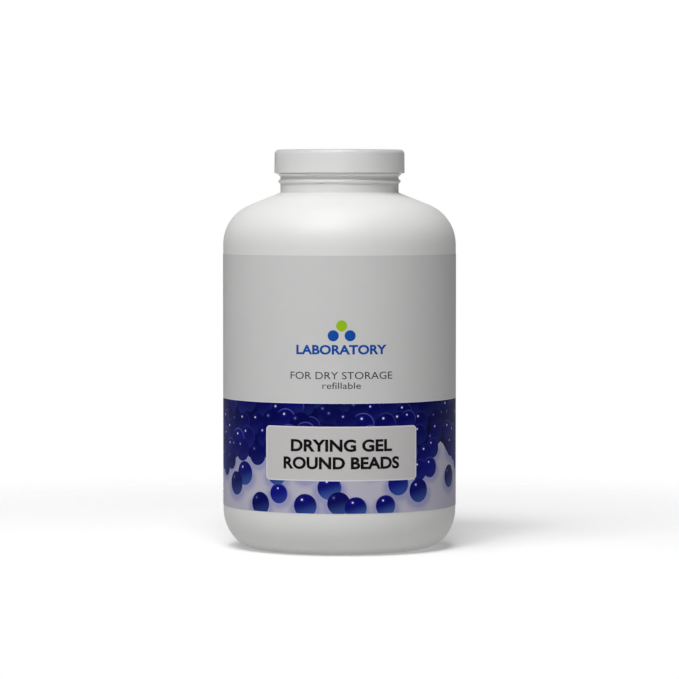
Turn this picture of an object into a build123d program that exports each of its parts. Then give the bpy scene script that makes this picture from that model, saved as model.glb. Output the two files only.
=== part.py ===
from build123d import *

import os
from math import cos, pi, radians, sin, sqrt, tan

# A one-litre wide-mouth packer bottle of indicating silica gel beads: a blow-moulded bottle
# with a threaded neck, a smooth screw cap with a loose liner disc, a wrap-round label and the
# beads inside. Millimetres, +Z up, origin at the centre of the surface that the bottle stands
# on. The middle of the label faces -Y.

# Bottle body
body_diameter = 99.4
shoulder_height = 151.4  # standing surface to the corner where the neck starts
shoulder_slope = 21.7  # degrees below horizontal, beside the neck
shoulder_round = 18.2
heel_width = 13.3
heel_height = 17.0
wall = 1.3
standing_ring = 2.0  # width of the flat ring that touches the table
push_up = 2.4  # step up inside the standing ring
base_crown = 1.0  # further rise of the base at its centre

# Neck finish
neck_diameter = 50.5
neck_length = 15.7  # shoulder corner to rim
neck_wall = 2.55
neck_fillet = 0.3
rim_round = 0.5
bead_ring_radius = 0.85  # half-round transfer ring near the foot of the neck
bead_ring_below_rim = 10.9
stop_ring_proud = 1.4  # ring with a sloped underside, just under the cap's skirt
stop_ring_height = 1.2
stop_ring_below_rim = 7.65

# Screw thread, six turns to the inch
pitch = 25.4 / 6
thread_turns = 1.0
thread_proud = 1.1
thread_foot = 2.0  # axial width where the ridge leaves its wall
thread_crest = 1.0  # axial width at the crest
thread_below_rim = 2.1  # rim to the middle of the thread's upper end
thread_sink = 0.4  # how far the ridge's root reaches into the wall that carries it
cap_thread_turns = 0.8
cap_thread_rise = 1.3  # cap's lower edge to the middle of its thread's lower end

# Screw cap and liner
cap_wall = 1.15
cap_top = 1.6
cap_corner = 1.8
cap_edge_round = 0.3
cap_draft = 0.5  # degrees, wider towards the lower edge
liner_thickness = 1.0

# Label
label_thickness = 0.12
label_above_heel = 1.3
label_below_round = 4.0  # under the foot of the shoulder's round
label_overlap = 8.0  # width of the seam at the back

# Beads
bead_diameter = 5.0
fill_below_round = 19.0  # foot of the shoulder's round to the top of the packed beads

# Clearances
thread_gap = 0.15  # between the flanks of the two threads
crest_gap = 0.3  # from each thread's crest to the wall that it faces
skirt_gap = 0.2  # from the cap's lower edge to the stop ring
liner_gap = 0.3  # round the liner, inside the cap
bead_gap = 0.3  # round the packed beads and between single beads
surface_bead_gap = 0.1  # packed beads to the loose layer on top of them

body_radius = body_diameter / 2
neck_radius = neck_diameter / 2
slope = radians(shoulder_slope)
cone_drop = (body_radius - neck_radius) * tan(slope)
round_start = shoulder_height - cone_drop - shoulder_round * tan((pi / 2 - slope) / 2)
rim_height = shoulder_height + neck_length
thread_crest_radius = neck_radius + thread_proud
thread_flank = (thread_foot - thread_crest) / 2 / thread_proud  # axial run for each unit of depth
thread_start = rim_height - thread_below_rim - pitch * thread_turns  # lower end, at angle 0
cap_inner_radius = thread_crest_radius + crest_gap
cap_inner_top = rim_height + liner_thickness
cap_bottom = rim_height - stop_ring_below_rim + skirt_gap


def wall_outline(inset, top_radius):
    """Edges from the foot of the heel up to the neck, and the height reached at top_radius."""
    radius = body_radius - inset
    centre = (body_radius - heel_width, heel_height)
    heel = EllipticalCenterArc(centre, heel_width - inset, heel_height - inset, 270, arc_size=90)
    side = Line((radius, heel_height), (radius, round_start))
    shoulder = JernArc((radius, round_start), (0, 1), shoulder_round - inset, 90 - shoulder_slope)
    run = (shoulder @ 1).X - top_radius
    height = (shoulder @ 1).Y + run * tan(slope)
    cone = Line(shoulder @ 1, (top_radius, height))
    return [heel, side, shoulder, cone], height


def base_outline(lift):
    """Edges of the base from the axis out to the foot of the heel, raised by lift."""
    ring_outer = body_radius - heel_width
    ring_inner = ring_outer - standing_ring
    dome_edge = ring_inner - push_up
    dome_rise = push_up + base_crown
    dome = ThreePointArc(
        (0, dome_rise + lift),
        (dome_edge / 2, push_up + base_crown * 3 / 4 + lift),
        (dome_edge, push_up + lift),
    )
    step = Line((dome_edge, push_up + lift), (ring_inner, lift))
    ring = Line((ring_inner, lift), (ring_outer, lift))
    return [dome, step, ring]


def neck_outline():
    """Edges of the outside of the neck, from the shoulder corner to the rim."""
    bead_z = rim_height - bead_ring_below_rim
    stop_z = rim_height - stop_ring_below_rim
    stop_foot = stop_z - stop_ring_height
    stop_edge = neck_radius + stop_ring_proud
    below = Line((neck_radius, shoulder_height), (neck_radius, bead_z - bead_ring_radius))
    bead_ring = CenterArc((neck_radius, bead_z), bead_ring_radius, -90, 180)
    between = Line((neck_radius, bead_z + bead_ring_radius), (neck_radius, stop_foot))
    stop_ring = Line((neck_radius, stop_foot), (stop_edge, stop_z))
    ledge = Line((stop_edge, stop_z), (neck_radius, stop_z))
    finish = Line((neck_radius, stop_z), (neck_radius, rim_height))
    return [below, bead_ring, between, stop_ring, ledge, finish]


def turned(edges):
    """The solid of revolution of a closed outline drawn as radius and height."""
    return revolve(Plane.XZ * make_face(edges), Axis.Z)


def thread_ridge(wall_radius, side, start_height, turns, start_angle):
    """A right-handed ridge with rounded ends, on the outside of a wall (side 1) or inside it (-1)."""
    root_radius = wall_radius - side * thread_sink
    depth = thread_sink + thread_proud
    foot = thread_foot + 2 * thread_sink * thread_flank
    path = Rot(0, 0, start_angle) * Pos(0, 0, start_height) * Helix(pitch, pitch * turns, root_radius)
    half_section = Polyline((0, -foot / 2), (depth, -thread_crest / 2), (depth, 0), (0, 0), close=True)
    section = make_face(half_section)
    section += mirror(section, Plane.XZ)
    out = side * outward(path @ 0)
    ridge = sweep(Plane(path @ 0, x_dir=out, z_dir=path % 0) * section, path=path, is_frenet=True)
    end_cone = Cone(foot / 2, thread_crest / 2, depth, align=(Align.CENTER, Align.CENTER, Align.MIN))
    for end in (path @ 0, path @ 1):
        ridge += Plane(end, z_dir=side * outward(end)) * end_cone
    return ridge


def outward(point):
    """The unit vector from the axis to a point, level with it."""
    return Vector(point.X, point.Y, 0).normalized()


def bottle():
    bore = neck_radius - neck_wall
    outer, _ = wall_outline(0, neck_radius)
    inner, throat = wall_outline(wall, bore)
    rim = Line((neck_radius, rim_height), (bore, rim_height))
    throat_side = Line((bore, throat), (bore, rim_height))
    crown = push_up + base_crown
    middle = Line((0, crown), (0, crown + wall))
    skin = base_outline(0) + outer + neck_outline() + [rim, throat_side] + inner + base_outline(wall)
    face = make_face(skin + [middle])
    face = fillet(corners(face, rim_height), rim_round)
    face = fillet(corners(face, shoulder_height), neck_fillet)
    shell = revolve(Plane.XZ * face, Axis.Z)
    return shell + thread_ridge(neck_radius, 1, thread_start, thread_turns, 0)


def corners(face, height):
    """The corners of a section that lie at one height."""
    return [v for v in face.vertices() if abs(v.Y - height) < 1e-6]


def cap_thread():
    """The cap's ridge, one flank gap under the bottle's thread when the cap is tight."""
    crest_radius = cap_inner_radius - thread_proud
    apart = thread_crest + (thread_crest_radius - crest_radius) * thread_flank + thread_gap
    lower_end = cap_bottom + cap_thread_rise
    lead = (lower_end - thread_start + apart) / pitch  # turns past the bottle thread's lower end
    return thread_ridge(cap_inner_radius, -1, lower_end, cap_thread_turns, lead * 360)


def screw_cap():
    top = cap_inner_top + cap_top
    outer_low = cap_inner_radius + cap_wall
    outer_high = outer_low - (top - cap_bottom) * tan(radians(cap_draft))
    skirt = make_face(
        Polyline(
            (0, cap_inner_top),
            (cap_inner_radius, cap_inner_top),
            (cap_inner_radius, cap_bottom),
            (outer_low, cap_bottom),
            (outer_high, top),
            (0, top),
            close=True,
        )
    )
    skirt = fillet([v for v in corners(skirt, top) if v.X > 0], cap_corner)
    skirt = fillet([v for v in corners(skirt, cap_bottom) if v.X > cap_inner_radius], cap_edge_round)
    return revolve(Plane.XZ * skirt, Axis.Z) + cap_thread()


def cap_liner():
    disc = Cylinder(
        cap_inner_radius - liner_gap, liner_thickness, align=(Align.CENTER, Align.CENTER, Align.MIN)
    )
    return Pos(0, 0, rim_height) * disc


def label():
    """A band round the body whose outer end laps over its start at the back."""
    bottom = heel_height + label_above_heel
    height = round_start - label_below_round - bottom
    wrap = ring(body_radius, body_radius + label_thickness, height)
    lap = ring(body_radius, body_radius + 2 * label_thickness, height)
    half_angle = label_overlap / 2 / body_radius
    reach = body_diameter
    wedge = make_face(
        Polyline((0, 0), (-reach * tan(half_angle), reach), (reach * tan(half_angle), reach), close=True)
    )
    return Pos(0, 0, bottom) * (wrap + (lap & extrude(wedge, height)))


def ring(inner_radius, outer_radius, height):
    return extrude(Circle(outer_radius) - Circle(inner_radius), height)


def bead_bed():
    """The packed beads below the loose top layer, as one filled volume."""
    inset = wall + bead_gap
    edge = body_radius - inset
    fill_height = round_start - fill_below_round
    heel = wall_outline(inset, neck_radius)[0][0]
    side = Line((edge, heel_height), (edge, fill_height))
    top = Line((edge, fill_height), (0, fill_height))
    middle = Line((0, fill_height), (0, push_up + base_crown + inset))
    return turned(base_outline(inset) + [heel, side, top, middle])


def surface_beads():
    """The loose top layer: single beads laid out on a sunflower spiral."""
    golden_angle = pi * (3 - sqrt(5))
    spread = (bead_diameter + bead_gap) / sqrt(3)  # the spiral's closest pair is sqrt(3) of this apart
    reach = body_radius - wall - bead_gap - bead_diameter / 2
    count = int((reach / spread) ** 2)
    level = round_start - fill_below_round + surface_bead_gap + bead_diameter / 2
    beads = []
    for number in range(count):
        distance = spread * sqrt(number + 0.5)
        angle = number * golden_angle
        beads.append(Pos(distance * cos(angle), distance * sin(angle), level) * Sphere(bead_diameter / 2))
    return Compound(children=beads)


os.makedirs("parts", exist_ok=True)
for make in (bottle, screw_cap, cap_liner, label, bead_bed, surface_beads):
    export_step(make(), f"parts/{make.__name__}.step")
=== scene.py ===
import math
import random

import bpy
import bmesh
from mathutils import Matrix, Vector
from mathutils.geometry import delaunay_2d_cdt


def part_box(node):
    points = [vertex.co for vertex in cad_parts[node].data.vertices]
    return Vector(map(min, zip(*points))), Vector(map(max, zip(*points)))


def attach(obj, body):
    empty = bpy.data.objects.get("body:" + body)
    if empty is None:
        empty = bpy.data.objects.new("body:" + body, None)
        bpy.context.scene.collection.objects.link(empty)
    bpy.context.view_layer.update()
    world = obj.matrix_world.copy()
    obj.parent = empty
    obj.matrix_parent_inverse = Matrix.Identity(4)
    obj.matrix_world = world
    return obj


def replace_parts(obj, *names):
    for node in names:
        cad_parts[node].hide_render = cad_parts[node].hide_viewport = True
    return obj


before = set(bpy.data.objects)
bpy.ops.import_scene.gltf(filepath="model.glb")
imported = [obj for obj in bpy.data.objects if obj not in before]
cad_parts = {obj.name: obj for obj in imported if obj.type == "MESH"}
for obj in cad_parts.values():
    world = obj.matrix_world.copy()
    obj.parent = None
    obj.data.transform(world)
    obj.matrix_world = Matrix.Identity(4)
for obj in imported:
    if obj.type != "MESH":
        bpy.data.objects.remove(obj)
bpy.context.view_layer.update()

# A white packer bottle of silica gel beads with its wrap-round label. Sizes in the dictionaries
# are millimetres unless a note says otherwise. Every place comes from the frame's boxes.

mm = 0.001
bottleLow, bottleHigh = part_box("bottle")
_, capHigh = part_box("screw_cap")
labelLow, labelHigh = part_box("label")
beadsLow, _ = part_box("surface_beads")
axisX = (bottleLow.x + bottleHigh.x) / 2
axisY = (bottleLow.y + bottleHigh.y) / 2
bodyRadius = (bottleHigh.x - bottleLow.x) / 2
print("frame:", len(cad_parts), "nodes, body", round(2 * bodyRadius / mm, 2), "mm across")


def linear(hexColour):
    parts = [int(hexColour[i : i + 2], 16) / 255 for i in (1, 3, 5)]
    return [c / 12.92 if c <= 0.04045 else ((c + 0.055) / 1.055) ** 2.4 for c in parts] + [1.0]


smoothStep = {"interpolation_type": "SMOOTHSTEP"}
colourMix = {"data_type": "RGBA"}


def addNode(tree, kind, inputs=None, **settings):
    # An input is a plain value, a socket, or a node whose first output is meant.
    node = tree.nodes.new(kind)
    for name, value in settings.items():
        setattr(node, name, value)
    for socket, value in (inputs or {}).items():
        if isinstance(value, bpy.types.Node):
            value = value.outputs[0]
        if isinstance(value, bpy.types.NodeSocket):
            tree.links.new(value, node.inputs[socket])
        else:
            node.inputs[socket].default_value = value
    return node


def startMaterial(name):
    material = bpy.data.materials.new(name)
    material.use_nodes = True
    material.node_tree.nodes.clear()
    return material, material.node_tree


def addPiece(name, mesh):
    piece = bpy.data.objects.new(name, mesh)
    bpy.context.scene.collection.objects.link(piece)
    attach(piece, "jar")
    return piece


plastic = {
    "ripple": 26.0,  # across one ripple of the blown wall
    "flow": 43.3,  # across one flow mark of the moulded cap
    "rippleFade": 24.0,  # height above the label over which the ripples die out towards the neck
    "grain": 0.7,  # across one dimple of the mould's blasting
    "capGrain": 0.55,
    # Painted shade: over this height the cap's top and rounded edge are painted greyer.
    "capTopShade": 1.9,  # height of the cap's rounded edge
    "partingLine": 0.35,  # half the width of the mould line on each side of the bottle
    "foamCell": 0.4,
}


def blowMouldedHdpe():
    # High-density polyethylene, pigmented white and blow moulded: waxy, slightly translucent and
    # softly shiny, with faint ripples where the parison cooled and a mould line on each side.
    material, tree = startMaterial("blowMouldedHdpe")
    place = addNode(tree, "ShaderNodeTexCoord").outputs["Object"]
    inputs = {"Vector": place, "Scale": 1 / (plastic["ripple"] * mm), "Detail": 1.0}
    ripple = addNode(tree, "ShaderNodeTexNoise", inputs)
    inputs = {"Vector": place, "Scale": 1 / (plastic["grain"] * mm), "Detail": 2.0}
    grain = addNode(tree, "ShaderNodeTexNoise", inputs)
    sides = addNode(tree, "ShaderNodeSeparateXYZ", {0: place})
    offLine = addNode(tree, "ShaderNodeMath", {0: sides.outputs["Y"]}, operation="ABSOLUTE")
    inputs = {"Value": offLine, 1: 0.0, 2: plastic["partingLine"] * mm, 3: 1.0, 4: 0.0}
    line = addNode(tree, "ShaderNodeMapRange", inputs, **smoothStep)
    inputs = {"Value": sides.outputs["Z"], 1: labelHigh.z, 3: 1.0, 4: 0.0}
    inputs[2] = labelHigh.z + plastic["rippleFade"] * mm
    fade = addNode(tree, "ShaderNodeMapRange", inputs, **smoothStep)
    wall = addNode(tree, "ShaderNodeMath", {0: ripple, 1: fade}, operation="MULTIPLY")
    inputs = {"Height": wall, "Strength": 0.2, "Distance": 0.25 * mm}
    bump = addNode(tree, "ShaderNodeBump", inputs)
    inputs = {"Height": grain, "Strength": 0.15, "Distance": 0.02 * mm, "Normal": bump}
    bump = addNode(tree, "ShaderNodeBump", inputs)
    inputs = {"Height": line, "Strength": 0.5, "Distance": 0.08 * mm, "Normal": bump}
    bump = addNode(tree, "ShaderNodeBump", inputs)
    inputs = {0: ripple, 6: linear("#E4E4E2"), 7: linear("#E9E9E8")}
    tint = addNode(tree, "ShaderNodeMix", inputs, **colourMix)
    gloss = addNode(tree, "ShaderNodeMapRange", {"Value": grain, 3: 0.42, 4: 0.5})
    inputs = {
        "Base Color": tint.outputs[2],
        "Roughness": gloss,
        "IOR": 1.53,
        "Subsurface Weight": 0.25,
        "Subsurface Radius": (1.0, 0.95, 0.9),
        "Subsurface Scale": 1.0 * mm,
        "Normal": bump,
    }
    shader = addNode(tree, "ShaderNodeBsdfPrincipled", inputs)
    addNode(tree, "ShaderNodeOutputMaterial", {"Surface": shader})
    return material


def mouldedPolypropylene():
    # Polypropylene, injection moulded in a fine-blasted tool: harder, whiter and a little
    # glossier than the bottle, with slow flow marks that show only in the highlights. Its top and
    # rounded edge carry painted shade, a shade greyer than the skirt in place of softer light on
    # the top, so that they stand out against a white background.
    material, tree = startMaterial("mouldedPolypropylene")
    place = addNode(tree, "ShaderNodeTexCoord").outputs["Object"]
    inputs = {"Vector": place, "Scale": 1 / (plastic["capGrain"] * mm), "Detail": 2.0}
    grain = addNode(tree, "ShaderNodeTexNoise", inputs)
    inputs = {"Vector": place, "Scale": 1 / (plastic["flow"] * mm), "Detail": 1.0}
    flow = addNode(tree, "ShaderNodeTexNoise", inputs)
    inputs = {"Height": flow, "Strength": 0.15, "Distance": 0.15 * mm}
    bump = addNode(tree, "ShaderNodeBump", inputs)
    inputs = {"Height": grain, "Strength": 0.15, "Distance": 0.02 * mm, "Normal": bump}
    bump = addNode(tree, "ShaderNodeBump", inputs)
    inputs = {0: flow, 6: linear("#E4E4E3"), 7: linear("#E7E7E7")}
    tint = addNode(tree, "ShaderNodeMix", inputs, **colourMix)
    sides = addNode(tree, "ShaderNodeSeparateXYZ", {0: place})
    # Painted shade: greyer towards the top, over the cap's top and its rounded edge.
    inputs = {"Value": sides.outputs["Z"], 1: capHigh.z - plastic["capTopShade"] * mm, 2: capHigh.z}
    top = addNode(tree, "ShaderNodeMapRange", inputs, **smoothStep)
    inputs = {0: top, 6: tint.outputs[2], 7: linear("#CACACA")}
    tint = addNode(tree, "ShaderNodeMix", inputs, **colourMix)
    gloss = addNode(tree, "ShaderNodeMapRange", {"Value": grain, 3: 0.3, 4: 0.4})
    inputs = {
        "Base Color": tint.outputs[2],
        "Roughness": gloss,
        "IOR": 1.49,
        "Subsurface Weight": 0.2,
        "Subsurface Radius": (1.0, 0.95, 0.9),
        "Subsurface Scale": 0.8 * mm,
        "Normal": bump,
    }
    shader = addNode(tree, "ShaderNodeBsdfPrincipled", inputs)
    addNode(tree, "ShaderNodeOutputMaterial", {"Surface": shader})
    return material


def liningFoam():
    # Expanded polyethylene sheet, die cut: matt and soft, dimpled by its closed cells.
    material, tree = startMaterial("liningFoam")
    place = addNode(tree, "ShaderNodeTexCoord").outputs["Object"]
    inputs = {"Vector": place, "Scale": 1 / (plastic["foamCell"] * mm)}
    cells = addNode(tree, "ShaderNodeTexVoronoi", inputs)
    inputs = {"Height": cells, "Strength": 0.4, "Distance": 0.08 * mm}
    bump = addNode(tree, "ShaderNodeBump", inputs)
    inputs = {0: cells, 6: linear("#E6E6E1"), 7: linear("#F3F3EF")}
    tint = addNode(tree, "ShaderNodeMix", inputs, **colourMix)
    inputs = {"Base Color": tint.outputs[2], "Roughness": 0.8, "Normal": bump}
    shader = addNode(tree, "ShaderNodeBsdfPrincipled", inputs)
    addNode(tree, "ShaderNodeOutputMaterial", {"Surface": shader})
    return material


silica = {
    "dyePatch": 4.0,  # across one patch of stronger dye
    "pore": 0.4,
    "bead": 5.0,
    "crownHeight": 1.5,  # of a packed bead above the gap beside it
}


def silicaGel():
    # Indicating silica gel: glassy porous silica dyed deep blue, smooth and a little translucent.
    material, tree = startMaterial("silicaGel")
    place = addNode(tree, "ShaderNodeTexCoord").outputs["Object"]
    inputs = {"Vector": place, "Scale": 1 / (silica["dyePatch"] * mm), "Detail": 2.0}
    dye = addNode(tree, "ShaderNodeTexNoise", inputs)
    inputs = {"Vector": place, "Scale": 1 / (silica["pore"] * mm), "Detail": 2.0}
    pores = addNode(tree, "ShaderNodeTexNoise", inputs)
    inputs = {"Height": pores, "Strength": 0.2, "Distance": 0.02 * mm}
    bump = addNode(tree, "ShaderNodeBump", inputs)
    inputs = {0: dye, 6: linear("#06064E"), 7: linear("#1A2BB4")}
    tint = addNode(tree, "ShaderNodeMix", inputs, **colourMix)
    inputs = {
        "Base Color": tint.outputs[2],
        "Roughness": 0.18,
        "IOR": 1.46,
        "Subsurface Weight": 0.3,
        "Subsurface Radius": (0.2, 0.3, 1.0),
        "Subsurface Scale": 1.5 * mm,
        "Normal": bump,
    }
    shader = addNode(tree, "ShaderNodeBsdfPrincipled", inputs)
    addNode(tree, "ShaderNodeOutputMaterial", {"Surface": shader})
    return material


def packedSilicaGel():
    # The same gel seen as a packed bed: round bead tops with painted shade in the dark gaps
    # between them, one bead across a cell.
    material, tree = startMaterial("packedSilicaGel")
    place = addNode(tree, "ShaderNodeTexCoord").outputs["Object"]
    inputs = {"Vector": place, "Scale": 1 / (silica["bead"] * mm)}
    packed = addNode(tree, "ShaderNodeTexVoronoi", inputs)
    inputs = {"Value": packed, 1: 0.1, 2: 0.62, 3: 1.0, 4: 0.0}
    crownAndGapShade = addNode(tree, "ShaderNodeMapRange", inputs, **smoothStep)
    inputs = {"Height": crownAndGapShade, "Strength": 0.8, "Distance": silica["crownHeight"] * mm}
    bump = addNode(tree, "ShaderNodeBump", inputs)
    # Painted shade: the gaps between the bead tops are darkened nearly to black.
    inputs = {0: crownAndGapShade, 6: linear("#02021E"), 7: linear("#10187E")}
    tint = addNode(tree, "ShaderNodeMix", inputs, **colourMix)
    inputs = {"Base Color": tint.outputs[2], "Roughness": 0.22, "IOR": 1.46, "Normal": bump}
    shader = addNode(tree, "ShaderNodeBsdfPrincipled", inputs)
    addNode(tree, "ShaderNodeOutputMaterial", {"Surface": shader})
    return material


def finishNodes():
    finishes = {
        "bottle": blowMouldedHdpe(),
        "screw_cap": mouldedPolypropylene(),
        "cap_liner": liningFoam(),
        "bead_bed": packedSilicaGel(),
    }
    for name, finish in finishes.items():
        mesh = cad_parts[name].data
        mesh.materials.clear()
        mesh.materials.append(finish)
    print("finishes:", ", ".join(finishes))


looseLayer = {
    "beads": 222,
    "size": 5.0,  # the largest bead
    "smallest": 0.84,  # of the largest
    "spacing": 3.06,  # spiral step, the nearest two beads are sqrt(3) of this apart
    "wander": 0.12,  # furthest that a bead strays from its place, each way
    "turn": 6.28,  # radians, the most that a bead is turned
    "seed": 5,
}


def beadSpiral():
    # Beads on a sunflower spiral, each turned and sized at random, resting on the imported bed.
    tree = bpy.data.node_groups.new("beadSpiral", "GeometryNodeTree")
    for name, kind in (
        ("Beads", "Int"),
        ("Size", "Float"),
        ("Smallest", "Float"),
        ("Spacing", "Float"),
        ("Wander", "Float"),
        ("Floor", "Float"),
        ("Seed", "Int"),
        ("Material", "Material"),
    ):
        tree.interface.new_socket(name=name, in_out="INPUT", socket_type="NodeSocket" + kind)
    tree.interface.new_socket(name="Mesh", in_out="OUTPUT", socket_type="NodeSocketGeometry")
    given = addNode(tree, "NodeGroupInput").outputs
    number = addNode(tree, "GeometryNodeInputIndex")
    shifted = addNode(tree, "ShaderNodeMath", {0: number, 1: 0.5}, operation="ADD")
    root = addNode(tree, "ShaderNodeMath", {0: shifted}, operation="SQRT")
    reach = addNode(tree, "ShaderNodeMath", {0: root, 1: given["Spacing"]}, operation="MULTIPLY")
    goldenAngle = math.pi * (3 - math.sqrt(5))
    turn = addNode(tree, "ShaderNodeMath", {0: number, 1: goldenAngle}, operation="MULTIPLY")
    spin = addNode(tree, "ShaderNodeCombineXYZ", {2: turn})
    outwards = addNode(tree, "ShaderNodeCombineXYZ", {0: reach})
    inputs = {"Vector": outwards, "Rotation": spin}
    spot = addNode(tree, "ShaderNodeVectorRotate", inputs, rotation_type="EULER_XYZ")
    inputs = {2: given["Smallest"], 3: 1.0, "ID": number, "Seed": given["Seed"]}
    share = addNode(tree, "FunctionNodeRandomValue", inputs, data_type="FLOAT")
    inputs = {0: share.outputs[1], 1: given["Size"]}
    size = addNode(tree, "ShaderNodeMath", inputs, operation="MULTIPLY")
    radius = addNode(tree, "ShaderNodeMath", {0: size, 1: 0.5}, operation="MULTIPLY")
    level = addNode(tree, "ShaderNodeMath", {0: radius, 1: given["Floor"]}, operation="ADD")
    lift = addNode(tree, "ShaderNodeCombineXYZ", {2: level})
    inputs = {0: (-1, -1, 0), 1: (1, 1, 0), "ID": number, "Seed": given["Seed"]}
    drift = addNode(tree, "FunctionNodeRandomValue", inputs, data_type="FLOAT_VECTOR")
    inputs = {0: drift.outputs[0], "Scale": given["Wander"]}
    drift = addNode(tree, "ShaderNodeVectorMath", inputs, operation="SCALE")
    place = addNode(tree, "ShaderNodeVectorMath", {0: spot, 1: lift}, operation="ADD")
    place = addNode(tree, "ShaderNodeVectorMath", {0: place, 1: drift}, operation="ADD")
    points = addNode(tree, "GeometryNodePoints", {"Count": given["Beads"], "Position": place})
    ball = addNode(tree, "GeometryNodeMeshIcoSphere", {"Radius": 0.5, "Subdivisions": 2})
    smooth = addNode(tree, "GeometryNodeSetShadeSmooth", {"Geometry": ball})
    inputs = {0: (0, 0, 0), 1: [looseLayer["turn"]] * 3, "ID": number, "Seed": given["Seed"]}
    facing = addNode(tree, "FunctionNodeRandomValue", inputs, data_type="FLOAT_VECTOR")
    inputs = {"Points": points, "Instance": smooth, "Rotation": facing.outputs[0], "Scale": size}
    placed = addNode(tree, "GeometryNodeInstanceOnPoints", inputs)
    solid = addNode(tree, "GeometryNodeRealizeInstances", {"Geometry": placed})
    inputs = {"Geometry": solid, "Material": given["Material"]}
    painted = addNode(tree, "GeometryNodeSetMaterial", inputs)
    addNode(tree, "NodeGroupOutput", {0: painted})
    return tree


def looseBeadLayer():
    holder = bpy.data.objects.new("holder", bpy.data.meshes.new("holder"))
    bpy.context.scene.collection.objects.link(holder)
    modifier = holder.modifiers.new("looseBeadLayer", "NODES")
    modifier.node_group = beadSpiral()
    values = {
        "Beads": looseLayer["beads"],
        "Size": looseLayer["size"] * mm,
        "Smallest": looseLayer["smallest"],
        "Spacing": looseLayer["spacing"] * mm,
        "Wander": looseLayer["wander"] * mm,
        "Floor": beadsLow.z,
        "Seed": looseLayer["seed"],
        "Material": silicaGel(),
    }
    for socket in modifier.node_group.interface.items_tree:
        if socket.name in values:
            modifier[socket.identifier] = values[socket.name]
    ready = holder.evaluated_get(bpy.context.evaluated_depsgraph_get())
    mesh = bpy.data.meshes.new_from_object(ready)
    mesh.name = "loose_beads"
    bpy.data.objects.remove(holder)
    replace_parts(addPiece("loose_beads", mesh), "surface_beads")
    print("beads:", len(mesh.polygons), "faces")


labelPlan = {
    "filmThickness": 0.095,
    "glueGap": 0.005,
    "lap": 8.0,  # outer end over inner end, at the back
    "lapRise": 2.5,  # length over which the outer end climbs onto the inner one
    "column": 2.0,  # spacing of the upright edges that make the sheet round
    "bandTop": 45.7,  # height of the printed picture above the label's lower edge
    "hairline": 0.35,  # pale line along the picture's upper edge
    "panelWidth": 67.7,
    "panelLow": 13.5,
    "panelHigh": 36.2,
    "panelCorner": 1.9,
    "panelBorder": 0.5,
    "middle": 0.95,  # the artwork's middle, beside the middle of the front
}

filmOuter = bodyRadius / mm + labelPlan["glueGap"] + labelPlan["filmThickness"]
labelHeight = (labelHigh.z - labelLow.z) / mm
halfSheet = math.pi * filmOuter + labelPlan["lap"] / 2


def lapLift(across):
    # How far the sheet stands out where its outer end lies over the inner one.
    start = halfSheet - labelPlan["lap"] - labelPlan["lapRise"]
    share = min(max((across - start) / labelPlan["lapRise"], 0), 1)
    return share * share * (3 - 2 * share) * (labelPlan["filmThickness"] + labelPlan["glueGap"])


def onLabel(across, up, out=0.0):
    # Where a point of the flat artwork lies on the bottle: across from the front's middle.
    angle = across / filmOuter
    radius = (filmOuter + lapLift(across) + out) * mm
    x, y = axisX + radius * math.sin(angle), axisY - radius * math.cos(angle)
    return Vector((x, y, labelLow.z + up * mm))


def ringOfPoints(across, up, size, sides):
    turn = 2 * math.pi / sides
    spots = [(math.cos(turn * i), math.sin(turn * i)) for i in range(sides)]
    return [(across + size / 2 * x, up + size / 2 * y) for x, y in spots]


def roundedPanel(left, low, right, high, corner):
    points = []
    ends = ((right, high, -1, -1), (left, high, 1, -1), (left, low, 1, 1), (right, low, -1, 1))
    steps = 6
    for quarter, (x, y, inX, inY) in enumerate(ends):
        for i in range(steps + 1):
            angle = math.pi / 2 * (quarter + i / steps)
            middleX, middleY = x + inX * corner, y + inY * corner
            points.append((middleX + corner * math.cos(angle), middleY + corner * math.sin(angle)))
    return points


picture = {
    "seed": 11,
    "beadSize": 9.2,
    "sizeSpread": 0.1,
    "pitch": 7.2,  # between neighbouring beads of the heap
    "wander": (0.32, 0.3),  # of the pitch, that a bead strays across and up
    "clearOfFoot": 0.35,  # of its size, that a heap bead's middle is above the heap's lower edge
    "depthStart": 4.0,  # height above the heap's lower edge where the beads start to darken
    "depthSpan": 18.0,
    "sides": 32,  # of each printed disc
    "crestSteps": 120,
    "crestLift": 0.8,  # of a bead's size, from the heap's lower edge to its dark backing
    "shadeTop": 26.0,  # height below which the ground's soft shadows are worked out
    "shadeStep": 1.0,
    "shadowReach": 2.2,
    "shadowSearch": 12.0,  # furthest bead that can shade a spot
    "shadowDrop": 0.18,  # of a bead's size, that its shadow lies below it
    "shadowSquash": 0.8,
    "heapFoot": 15.5,  # mean height of the heap's lower edge
    "waves": ((7, 2.4, 0.6), (12, 1.9, 2.1), (23, 1.5, 4.0)),  # number round, height, start
    "strayTries": 36,  # draws of a loose bead, of which those too near another are dropped
    "strayGap": 6.4,  # the least between two loose beads
}


def heapFoot(across):
    # Height of the printed heap's lower edge: waves that meet again at the sheet's two ends.
    turn = math.pi * across / halfSheet
    waves = [tall * math.sin(count * turn + start) for count, tall, start in picture["waves"]]
    return picture["heapFoot"] + sum(waves)


def strayBeads(draw):
    # Beads that lie loose in front of the heap, furthest first: across, up, size.
    strays = []
    for _ in range(picture["strayTries"]):
        across = draw.uniform(-halfSheet, halfSheet)
        up = draw.uniform(1, heapFoot(across))
        size = picture["beadSize"] * (1 + draw.uniform(-1, 1) * picture["sizeSpread"])
        if all(math.hypot(across - x, up - y) > picture["strayGap"] for x, y, _ in strays):
            strays.append((across, up, size))
    return sorted(strays, key=lambda bead: -bead[1])


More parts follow.
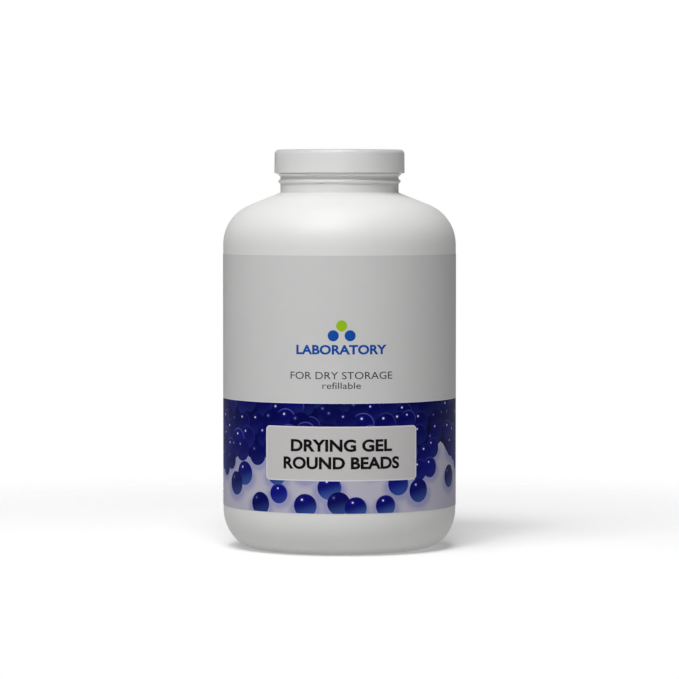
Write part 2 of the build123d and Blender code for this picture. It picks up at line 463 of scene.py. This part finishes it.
def printedHeap():
    # Every printed bead from the back of the picture to the front: across, up, size, tone, depth.
    # Depth is 0 at the heap's foot, 1 far up in it, and below 0 for the stray beads in front.
    draw = random.Random(picture["seed"])
    pitch = picture["pitch"]
    wanderAcross, wanderUp = picture["wander"]
    rowStep = pitch * math.sqrt(3) / 2
    columns = round(2 * halfSheet / pitch)
    beads = []
    for row in range(int(labelPlan["bandTop"] / rowStep) + 2, -1, -1):
        order = list(range(columns))
        draw.shuffle(order)
        for column in order:
            across = -halfSheet + (column + (row % 2) / 2) * 2 * halfSheet / columns
            across += draw.uniform(-wanderAcross, wanderAcross) * pitch
            up = row * rowStep + draw.uniform(-wanderUp, wanderUp) * pitch
            size = picture["beadSize"] * (1 + draw.uniform(-1, 1) * picture["sizeSpread"])
            tone = draw.random()
            height = up - heapFoot(across)
            if height > size * picture["clearOfFoot"]:
                depth = (height - picture["depthStart"]) / picture["depthSpan"]
                beads.append((across, up, size, tone, min(max(depth, 0), 1)))
    for across, up, size in strayBeads(draw):
        beads.append((across, up, size, draw.random(), -draw.uniform(0.3, 1.0)))
    return beads


def splitArtwork(beads):
    # Cuts the flat sheet along every printed edge: its points, its triangles, and for each
    # triangle the name of its print and, on a bead, the bead's number.
    points, faces, names, edges = [], [], [], []

    def addShape(name, outline):
        faces.append(list(range(len(points), len(points) + len(outline))))
        points.extend(Vector(p) for p in outline)
        names.append(name)

    top, left, right = labelPlan["bandTop"], -halfSheet, halfSheet
    line = top + labelPlan["hairline"]
    addShape("film", [(left, 0), (right, 0), (right, labelHeight), (left, labelHeight)])
    addShape("band", [(left, 0), (right, 0), (right, top), (left, top)])
    addShape("edgeLine", [(left, top), (right, top), (right, line), (left, line)])
    steps, lift = picture["crestSteps"], picture["beadSize"] * picture["crestLift"]
    crest = [left + 2 * halfSheet * i / steps for i in range(steps + 1)]
    crest = [(across, heapFoot(across) + lift) for across in crest]
    addShape("gaps", crest + [(right, top), (left, top)])
    middle, half = labelPlan["middle"], labelPlan["panelWidth"] / 2
    low, high = labelPlan["panelLow"], labelPlan["panelHigh"]
    corner, rim = labelPlan["panelCorner"], labelPlan["panelBorder"]
    addShape("edgeLine", roundedPanel(middle - half, low, middle + half, high, corner))
    inner = (middle - half + rim, low + rim, middle + half - rim, high - rim)
    addShape("panel", roundedPanel(*inner, corner - rim))
    firstBead = len(names)
    for across, up, size, _, _ in beads:
        addShape("bead", ringOfPoints(across, up, size, picture["sides"]))
    columns = math.ceil(2 * halfSheet / labelPlan["column"])
    for i in range(1, columns):
        across = left + 2 * halfSheet * i / columns
        edges.append((len(points), len(points) + 1))
        points.extend((Vector((across, 0)), Vector((across, labelHeight))))
    for row in range(1, int(picture["shadeTop"] / picture["shadeStep"])):
        for column in range(2 * columns):
            across = left + halfSheet * (column + 0.5 * (row % 2)) / columns
            points.append(Vector((across, row * picture["shadeStep"])))
    split = delaunay_2d_cdt(points, edges, faces, 1, 1e-4)
    flat, triangles, origins = split[0], split[2], split[5]
    printed = []
    for corners, held in zip(triangles, origins):
        kinds = {names[i] for i in held}
        if "film" not in kinds:
            continue
        shown = next((k for k in ("panel", "edgeLine") if k in kinds), None)
        if not shown and "band" in kinds:
            shown = next((k for k in ("bead", "gaps") if k in kinds), "ground")
        printed.append((corners, shown or "field", max(held) - firstBead))
    return flat, printed


def groundShade(spot, beads):
    # 0 on bare ground, 1 close to a bead, with the shade a little below and beside each bead.
    shade = 0.0
    search = picture["shadowSearch"]
    for across, up, size, _, _ in beads:
        if abs(spot.x - across) > search or abs(spot.y - up) > search:
            continue
        below = spot.y - up + size * picture["shadowDrop"]
        gap = math.hypot((spot.x - across) * picture["shadowSquash"], below) - size / 2
        shade = max(shade, min(1 - gap / picture["shadowReach"], 1))
    return shade


laminate = {
    "Roughness": 0.46,
    "IOR": 1.5,
    "Specular IOR Level": 0.06,
}

filmMarks = {
    "uneven": 8.33,  # across one hollow of the film
    "cloud": 18.2,  # across one pale patch of the printed ground
}


def printedFilm(name, pattern):
    # White polypropylene label film, printed and matt laminated: one smooth low sheen over every
    # colour, and a barely visible unevenness where the film bridges the bottle's ripples.
    material, tree = startMaterial(name)
    place = addNode(tree, "ShaderNodeTexCoord").outputs["Object"]
    inputs = {"Vector": place, "Scale": 1 / (filmMarks["uneven"] * mm), "Detail": 1.0}
    uneven = addNode(tree, "ShaderNodeTexNoise", inputs)
    inputs = {"Height": uneven, "Strength": 0.15, "Distance": 0.05 * mm}
    bump = addNode(tree, "ShaderNodeBump", inputs)
    colour = pattern(tree, place, uneven)
    inputs = {"Base Color": colour.outputs[2], "Normal": bump, **laminate}
    shader = addNode(tree, "ShaderNodeBsdfPrincipled", inputs)
    addNode(tree, "ShaderNodeOutputMaterial", {"Surface": shader})
    return material


def evenTint(darkHex, lightHex):
    # A flat printed tint with the slight mottle of ink on film.
    def pattern(tree, place, uneven):
        inputs = {0: uneven, 6: linear(darkHex), 7: linear(lightHex)}
        return addNode(tree, "ShaderNodeMix", inputs, **colourMix)

    return pattern


def groundPattern(tree, place, uneven):
    # The pale surface that the printed beads lie on: lilac white, blue in the beads' shade.
    inputs = {"Vector": place, "Scale": 1 / (filmMarks["cloud"] * mm), "Detail": 2.0}
    cloud = addNode(tree, "ShaderNodeTexNoise", inputs)
    shade = addNode(tree, "ShaderNodeAttribute", attribute_name="shade").outputs["Fac"]
    inputs = {0: cloud, 6: linear("#B2B0C2"), 7: linear("#C6C3CF")}
    pale = addNode(tree, "ShaderNodeMix", inputs, **colourMix).outputs[2]
    soft = addNode(tree, "ShaderNodeMath", {0: shade, 1: 1.6}, operation="POWER")
    inputs = {0: soft, 6: pale, 7: linear("#9C9CC2")}
    return addNode(tree, "ShaderNodeMix", inputs, **colourMix)


printedBead = {
    # Places are shares of a bead's radius from its middle, and ways are directions on its face.
    "footWay": (0.3, -0.95, 0),
    "edgeWay": (0.42, 0.91, 0),
    "edgeRing": (0.84, 0.95),
    "sparkleAcross": (-0.52, -0.08),  # for the darkest and the palest bead
    "sparkleUp": 0.5,
    "sparkleSize": (0.12, 0.04),  # where it starts and where it is full
    "haloSize": (0.3, 0.05),
}


def beadPattern(tree, place, uneven):
    # Dark blue glassy balls. Each printed disc has its own map, from -1 to 1, for a paler foot, a
    # thin bright edge at the upper right and a small sparkle at the upper left.
    face = addNode(tree, "ShaderNodeUVMap", uv_map="beadFace").outputs[0]
    tone = addNode(tree, "ShaderNodeAttribute", attribute_name="tone").outputs["Fac"]
    depth = addNode(tree, "ShaderNodeAttribute", attribute_name="depth").outputs["Fac"]
    inputs = {0: tone, 6: linear("#02034E"), 7: linear("#0C1080")}
    colour = addNode(tree, "ShaderNodeMix", inputs, **colourMix).outputs[2]
    inputs = {"Value": depth, 1: 0.0, 2: 1.0, 4: 0.6}
    far = addNode(tree, "ShaderNodeMapRange", inputs, **smoothStep)
    inputs = {0: far, 6: colour, 7: linear("#010146")}
    colour = addNode(tree, "ShaderNodeMix", inputs, **colourMix).outputs[2]

    inputs = {"Value": depth, 1: 0.0, 2: -1.0, 3: 0.1, 4: 1.0}
    front = addNode(tree, "ShaderNodeMapRange", inputs, **smoothStep)
    inputs = {0: face, 1: printedBead["footWay"]}
    foot = addNode(tree, "ShaderNodeVectorMath", inputs, operation="DOT_PRODUCT")
    inputs = {"Value": foot.outputs["Value"], 1: -0.3, 2: 1.0, 3: 0.0, 4: 0.75}
    glow = addNode(tree, "ShaderNodeMapRange", inputs, **smoothStep)
    share = addNode(tree, "ShaderNodeMath", {0: glow, 1: front}, operation="MULTIPLY")
    inputs = {0: share, 6: colour, 7: linear("#4A6CB4")}
    colour = addNode(tree, "ShaderNodeMix", inputs, **colourMix).outputs[2]

    reach = addNode(tree, "ShaderNodeVectorMath", {0: face}, operation="LENGTH").outputs["Value"]
    inner, outer = printedBead["edgeRing"]
    inputs = {"Value": reach, 1: inner, 2: outer, 3: 0.0, 4: 1.0}
    inside = addNode(tree, "ShaderNodeMapRange", inputs, **smoothStep)
    inputs = {"Value": reach, 1: 1.0, 2: outer, 3: 0.3, 4: 1.0}
    outside = addNode(tree, "ShaderNodeMapRange", inputs, **smoothStep)
    way = addNode(tree, "ShaderNodeVectorMath", {0: face}, operation="NORMALIZE")
    inputs = {0: way, 1: printedBead["edgeWay"]}
    upper = addNode(tree, "ShaderNodeVectorMath", inputs, operation="DOT_PRODUCT")
    inputs = {"Value": upper.outputs["Value"], 1: -0.2, 2: 1.0, 3: 0.0, 4: 0.6}
    arc = addNode(tree, "ShaderNodeMapRange", inputs, **smoothStep)
    inputs = {"Value": tone, 1: 0.4, 2: 1.0, 3: 0.0, 4: 0.8}
    shown = addNode(tree, "ShaderNodeMapRange", inputs, **smoothStep)
    edge = addNode(tree, "ShaderNodeMath", {0: inside, 1: outside}, operation="MULTIPLY")
    edge = addNode(tree, "ShaderNodeMath", {0: edge, 1: arc}, operation="MULTIPLY")
    edge = addNode(tree, "ShaderNodeMath", {0: edge, 1: shown}, operation="MULTIPLY")
    inputs = {0: edge, 6: colour, 7: linear("#6A78D0")}
    colour = addNode(tree, "ShaderNodeMix", inputs, **colourMix).outputs[2]

    dark, pale = printedBead["sparkleAcross"]
    aside = addNode(tree, "ShaderNodeMapRange", {"Value": tone, 3: dark, 4: pale})
    spot = addNode(tree, "ShaderNodeCombineXYZ", {0: aside, 1: printedBead["sparkleUp"]})
    gap = addNode(tree, "ShaderNodeVectorMath", {0: face, 1: spot}, operation="DISTANCE")
    start, full = printedBead["haloSize"]
    inputs = {"Value": gap.outputs["Value"], 1: start, 2: full, 3: 0.0, 4: 0.2}
    halo = addNode(tree, "ShaderNodeMapRange", inputs, **smoothStep)
    inputs = {0: halo, 6: colour, 7: linear("#4A58C8")}
    colour = addNode(tree, "ShaderNodeMix", inputs, **colourMix).outputs[2]
    start, full = printedBead["sparkleSize"]
    inputs = {"Value": gap.outputs["Value"], 1: start, 2: full, 3: 0.0, 4: 1.0}
    sparkle = addNode(tree, "ShaderNodeMapRange", inputs, **smoothStep)
    inputs = {"Value": tone, 1: 0.25, 2: 0.55, 3: 0.15, 4: 1.0}
    lit = addNode(tree, "ShaderNodeMapRange", inputs, **smoothStep)
    sparkle = addNode(tree, "ShaderNodeMath", {0: sparkle, 1: lit}, operation="MULTIPLY")
    inputs = {0: sparkle, 6: colour, 7: linear("#F2F0FF")}
    return addNode(tree, "ShaderNodeMix", inputs, **colourMix)


def markLabel(mesh, flat, printed, beads):
    # Gives each spot its shade, and each printed bead its tone, its depth and its own map.
    shadeOf = mesh.attributes.new("shade", "FLOAT", "POINT")
    toneOf = mesh.attributes.new("tone", "FLOAT", "FACE")
    depthOf = mesh.attributes.new("depth", "FLOAT", "FACE")
    beadFace = mesh.uv_layers.new(name="beadFace")
    for i, spot in enumerate(flat):
        if spot.y < picture["shadeTop"]:
            shadeOf.data[i].value = groundShade(spot, beads)
    for polygon, (_, shown, which) in zip(mesh.polygons, printed):
        if shown == "bead":
            across, up, size, tone, depth = beads[which]
            toneOf.data[polygon.index].value = tone
            depthOf.data[polygon.index].value = depth
            for index in polygon.loop_indices:
                spot = flat[mesh.loops[index].vertex_index]
                beadFace.data[index].uv = ((spot.x - across) * 2 / size, (spot.y - up) * 2 / size)


def roundNormals(mesh):
    # Turns the normals of the film's two faces straight out from the axis, or straight in to it.
    normals = []
    for polygon in mesh.polygons:
        for index in polygon.loop_indices:
            spot = mesh.vertices[mesh.loops[index].vertex_index].co
            out = Vector((spot.x - axisX, spot.y - axisY, 0)).normalized()
            out = out if polygon.normal.dot(out) > 0 else -out
            normals.append(out if polygon.use_smooth else polygon.normal.copy())
    mesh.normals_split_custom_set(normals)


def wrapLabel():
    beads = printedHeap()
    flat, printed = splitArtwork(beads)
    finishes = {
        "field": printedFilm("printedField", evenTint("#D0D0D0", "#D4D4D3")),
        "edgeLine": printedFilm("printedEdgeLine", evenTint("#DEDEE4", "#E2E2E8")),
        "panel": printedFilm("printedPanel", evenTint("#CBC8C8", "#CECBCB")),
        "gaps": printedFilm("printedGaps", evenTint("#01013A", "#020348")),
        "ground": printedFilm("printedGround", groundPattern),
        "bead": printedFilm("printedBeads", beadPattern),
    }
    order = list(finishes)
    count = len(flat)
    inner = -labelPlan["filmThickness"]
    places = [onLabel(p.x, p.y) for p in flat] + [onLabel(p.x, p.y, inner) for p in flat]
    outside = [list(corners) for corners, _, _ in printed]
    inside = [[i + count for i in reversed(corners)] for corners in outside]
    edges = {pair for corners in outside for pair in zip(corners, corners[1:] + corners[:1])}
    rim = sorted((a, b) for a, b in edges if (b, a) not in edges)
    ends = [[b, a, a + count, b + count] for a, b in rim]
    mesh = bpy.data.meshes.new("wrap_label")
    mesh.from_pydata(places, [], outside + inside + ends)
    for finish in finishes.values():
        mesh.materials.append(finish)
    for polygon in mesh.polygons:
        polygon.use_smooth = polygon.index < 2 * len(printed)
    for polygon, (_, shown, _) in zip(mesh.polygons, printed):
        polygon.material_index = order.index(shown)
    markLabel(mesh, flat, printed, beads)
    roundNormals(mesh)
    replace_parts(addPiece("wrap_label", mesh), "label")
    print("label:", len(mesh.polygons), "faces,", len(beads), "printed beads")


ink = {
    "lift": 0.002,  # underside of the ink above the film
    "thickness": 0.012,
    "slice": 1.0,  # spacing of the cuts that let flat letters bend round the bottle
    "mottle": 1.1,  # across one thin patch
    "thinning": 0.08,  # share of the film's grey that shows through a thin patch
    "discSides": 48,
}

inkColours = {
    "blue": "#0E4FA8",
    "green": "#9CC21A",
    "grey": "#3C3C3E",
    "black": "#0B0B0D",
}

# Plain words: ink, text, middle, baseline, height, width, weight.
wording = [
    ("blue", "LABORATORY", 0.9, 66.3, 3.8, 38.4, 0.035),
    ("grey", "FOR DRY STORAGE", 0.9, 55.9, 3.0, 43.6, 0.0),
    ("grey", "refillable", 0.9, 51.9, 2.7, 16.0, 0.0),
    ("black", "DRYING GEL", 0.9, 26.0, 4.9, 43.4, 0.036),
    ("black", "ROUND BEADS", 0.9, 18.7, 4.9, 50.2, 0.036),
]

# A plain mark of three beads: ink, across, up, size.
markDiscs = [("blue", -2.6, 73.9, 4.6), ("green", 0.9, 78.0, 4.6), ("blue", 4.4, 73.9, 4.6)]


def screenInk(name, hexColour):
    # Screen-printed ink: opaque, a little glossier than the film, thinner in tiny patches.
    material, tree = startMaterial(name)
    place = addNode(tree, "ShaderNodeTexCoord").outputs["Object"]
    inputs = {"Vector": place, "Scale": 1 / (ink["mottle"] * mm), "Detail": 2.0}
    density = addNode(tree, "ShaderNodeTexNoise", inputs)
    full = linear(hexColour)
    share = ink["thinning"]
    thin = [c * (1 - share) + share * grey for c, grey in zip(full, linear("#808080"))]
    worn = addNode(tree, "ShaderNodeMapRange", {"Value": density, 1: 0.35, 2: 0.75, 4: 0.35})
    tint = addNode(tree, "ShaderNodeMix", {0: worn, 6: full, 7: thin}, **colourMix)
    inputs = {"Base Color": tint.outputs[2], "Roughness": 0.4, "Specular IOR Level": 0.06}
    shader = addNode(tree, "ShaderNodeBsdfPrincipled", inputs)
    addNode(tree, "ShaderNodeOutputMaterial", {"Surface": shader})
    return material


def flatWord(words, middle, base, height, width, weight):
    # A word as a flat closed shape in millimetres, stretched to its height and width.
    curve = bpy.data.curves.new(words, "FONT")
    curve.body = words
    curve.extrude = 0.5
    curve.offset = weight
    curve.resolution_u = 4
    text = bpy.data.objects.new(words, curve)
    bpy.context.scene.collection.objects.link(text)
    ready = text.evaluated_get(bpy.context.evaluated_depsgraph_get())
    mesh = bpy.data.meshes.new_from_object(ready)
    bpy.data.objects.remove(text)
    work = bmesh.new()
    work.from_mesh(mesh)
    bpy.data.meshes.remove(mesh)
    bmesh.ops.remove_doubles(work, verts=work.verts[:], dist=1e-5)
    xs = [v.co.x for v in work.verts]
    ys = [v.co.y for v in work.verts]
    low = 0 if words.isupper() else min(ys)
    for vert in work.verts:
        x = middle + (vert.co.x - (min(xs) + max(xs)) / 2) * width / (max(xs) - min(xs))
        vert.co = (x, base + vert.co.y * height / (max(ys) - low), vert.co.z + 0.5)
    return work


def flatDisc(across, up, size):
    work = bmesh.new()
    ring = ringOfPoints(across, up, size, ink["discSides"])
    disc = work.faces.new([work.verts.new((x, y, 0)) for x, y in ring])
    made = bmesh.ops.extrude_face_region(work, geom=[disc])
    for vert in made["geom"]:
        if isinstance(vert, bmesh.types.BMVert):
            vert.co.z = 1
    return work


def bendOntoLabel(work):
    xs = [v.co.x for v in work.verts]
    cut = math.floor(min(xs)) + ink["slice"]
    while cut < max(xs):
        whole = work.verts[:] + work.edges[:] + work.faces[:]
        bmesh.ops.bisect_plane(work, geom=whole, plane_co=(cut, 0, 0), plane_no=(1, 0, 0))
        cut += ink["slice"]
    for vert in work.verts:
        out = ink["lift"] + (ink["thickness"] if vert.co.z > 0.5 else 0)
        vert.co = onLabel(vert.co.x, vert.co.y, out)


def printInk():
    shapes = [(colour, flatWord(*rest)) for colour, *rest in wording]
    shapes += [(colour, flatDisc(*rest)) for colour, *rest in markDiscs]
    for name, hexColour in inkColours.items():
        whole = bmesh.new()
        for colour, work in shapes:
            if colour == name:
                bendOntoLabel(work)
                part = bpy.data.meshes.new("part")
                work.to_mesh(part)
                work.free()
                whole.from_mesh(part)
                bpy.data.meshes.remove(part)
        bmesh.ops.recalc_face_normals(whole, faces=whole.faces[:])
        bmesh.ops.triangulate(whole, faces=whole.faces[:])
        mesh = bpy.data.meshes.new("print_" + name)
        whole.to_mesh(mesh)
        whole.free()
        mesh.materials.append(screenInk(name + "ScreenInk", hexColour))
        addPiece("print_" + name, mesh)
        print("ink:", name, len(mesh.polygons), "faces")


studio = {
    "floorReach": 2.0,  # metres, half the sheet's width
    "fadeStart": 0.12,  # metres from the bottle's axis, where the sheet starts to fade
    "fadeEnd": 0.4,
    "floorBounce": 0.35,  # share of its light that the floor sends back
    "floorGlow": 0.29,  # light that the sheet gives by itself, as on a light table
    "floorShown": 1.0,  # exposure that takes the lit floor to plain white
    "glowShown": 0.13,
    "skyBehind": 0.28,  # strength of the surroundings' light, with none from the camera's side
    "skyInFront": 0.0,
}

# Softboxes: place and size in metres, power in watts.
softboxes = {
    "frontLow": ((-0.1, -1.9, 0.45), (0.5, 0.3), 2.4),
    "frontLeft": ((-0.65, -1.55, 0.7), (0.6, 0.6), 1.75),
    "overhead": ((0.0, 0.0, 1.4), (0.6, 0.6), 4.6),
    "overheadFront": ((-0.1, -0.8, 1.25), (0.6, 0.5), 9.0),
    "overheadLeft": ((-0.5, -0.7, 1.2), (0.6, 0.5), 5.3),
}


def layFloor():
    # Matt white sheet, softly lit from inside, that fades into the plain white surroundings.
    material, tree = startMaterial("whiteSheet")
    place = addNode(tree, "ShaderNodeTexCoord").outputs["Object"]
    away = addNode(tree, "ShaderNodeVectorMath", {0: place}, operation="LENGTH")
    shown = addNode(tree, "ShaderNodeLightPath").outputs["Is Camera Ray"]
    bounce, seen = [[studio[name]] * 3 + [1] for name in ("floorBounce", "floorShown")]
    tint = addNode(tree, "ShaderNodeMix", {0: shown, 6: bounce, 7: seen}, **colourMix)
    sheet = addNode(tree, "ShaderNodeBsdfDiffuse", {"Color": tint.outputs[2]})
    inputs = {"Value": shown, 3: studio["floorGlow"], 4: studio["glowShown"]}
    strength = addNode(tree, "ShaderNodeMapRange", inputs)
    glow = addNode(tree, "ShaderNodeEmission", {"Strength": strength})
    sheet = addNode(tree, "ShaderNodeAddShader", {0: sheet, 1: glow})
    clear = addNode(tree, "ShaderNodeBsdfTransparent")
    inputs = {"Value": away.outputs["Value"], 1: studio["fadeStart"], 2: studio["fadeEnd"]}
    fade = addNode(tree, "ShaderNodeMapRange", inputs, **smoothStep)
    fade = addNode(tree, "ShaderNodeMath", {0: fade, 1: shown}, operation="MULTIPLY")
    shader = addNode(tree, "ShaderNodeMixShader", {0: fade, 1: sheet, 2: clear})
    addNode(tree, "ShaderNodeOutputMaterial", {"Surface": shader})
    mesh = bpy.data.meshes.new("floor")
    reach = studio["floorReach"]
    corners = [(-reach, -reach, 0), (reach, -reach, 0), (reach, reach, 0), (-reach, reach, 0)]
    mesh.from_pydata(corners, [], [(0, 1, 2, 3)])
    mesh.materials.append(material)
    floor = bpy.data.objects.new("floor", mesh)
    bpy.context.scene.collection.objects.link(floor)


def lightStudio():
    aim = Vector((axisX, axisY, bottleHigh.z / 2))
    for name, (place, size, power) in softboxes.items():
        lamp = bpy.data.lights.new(name, "AREA")
        lamp.shape = "RECTANGLE"
        lamp.size, lamp.size_y = size
        lamp.energy = power
        light = bpy.data.objects.new(name, lamp)
        light.location = place
        light.rotation_euler = (aim - Vector(place)).to_track_quat("-Z", "Y").to_euler()
        bpy.context.scene.collection.objects.link(light)
    # The surroundings look plain white, and light the bottle only a little, from behind it.
    world = bpy.data.worlds.new("studio")
    world.use_nodes = True
    tree = world.node_tree
    tree.nodes.clear()
    shown = addNode(tree, "ShaderNodeLightPath").outputs["Is Camera Ray"]
    way = addNode(tree, "ShaderNodeTexCoord").outputs["Generated"]
    sides = addNode(tree, "ShaderNodeSeparateXYZ", {0: way})
    inputs = {"Value": sides.outputs["Y"], 1: 0.0, 2: 0.5}
    inputs[3], inputs[4] = studio["skyInFront"], studio["skyBehind"]
    strength = addNode(tree, "ShaderNodeMapRange", inputs, **smoothStep)
    soft = addNode(tree, "ShaderNodeBackground", {"Color": (1, 1, 1, 1), "Strength": strength})
    plain = addNode(tree, "ShaderNodeBackground", {"Color": (1, 1, 1, 1), "Strength": 1.0})
    sky = addNode(tree, "ShaderNodeMixShader", {0: shown, 1: soft, 2: plain})
    addNode(tree, "ShaderNodeOutputWorld", {"Surface": sky})
    bpy.context.scene.world = world
    bpy.context.scene.view_settings.view_transform = "Standard"
    print("studio:", len(softboxes), "softboxes")


view = {
    "distance": 1484,
    "height": 149.9,
    "aimHeight": 88.6,
    "lens": 184.0,
    "sensor": 36.0,
    "clip": (0.05, 50.0),  # metres
}


def placeCamera():
    lens = bpy.data.cameras.new("camera")
    lens.lens, lens.sensor_width = view["lens"], view["sensor"]
    lens.clip_start, lens.clip_end = view["clip"]
    camera = bpy.data.objects.new("camera", lens)
    camera.location = (axisX, axisY - view["distance"] * mm, view["height"] * mm)
    aim = Vector((axisX, axisY, view["aimHeight"] * mm))
    camera.rotation_euler = (aim - camera.location).to_track_quat("-Z", "Y").to_euler()
    bpy.context.scene.collection.objects.link(camera)
    bpy.context.scene.camera = camera


placeCamera()
layFloor()
lightStudio()
finishNodes()
looseBeadLayer()
wrapLabel()
printInk()
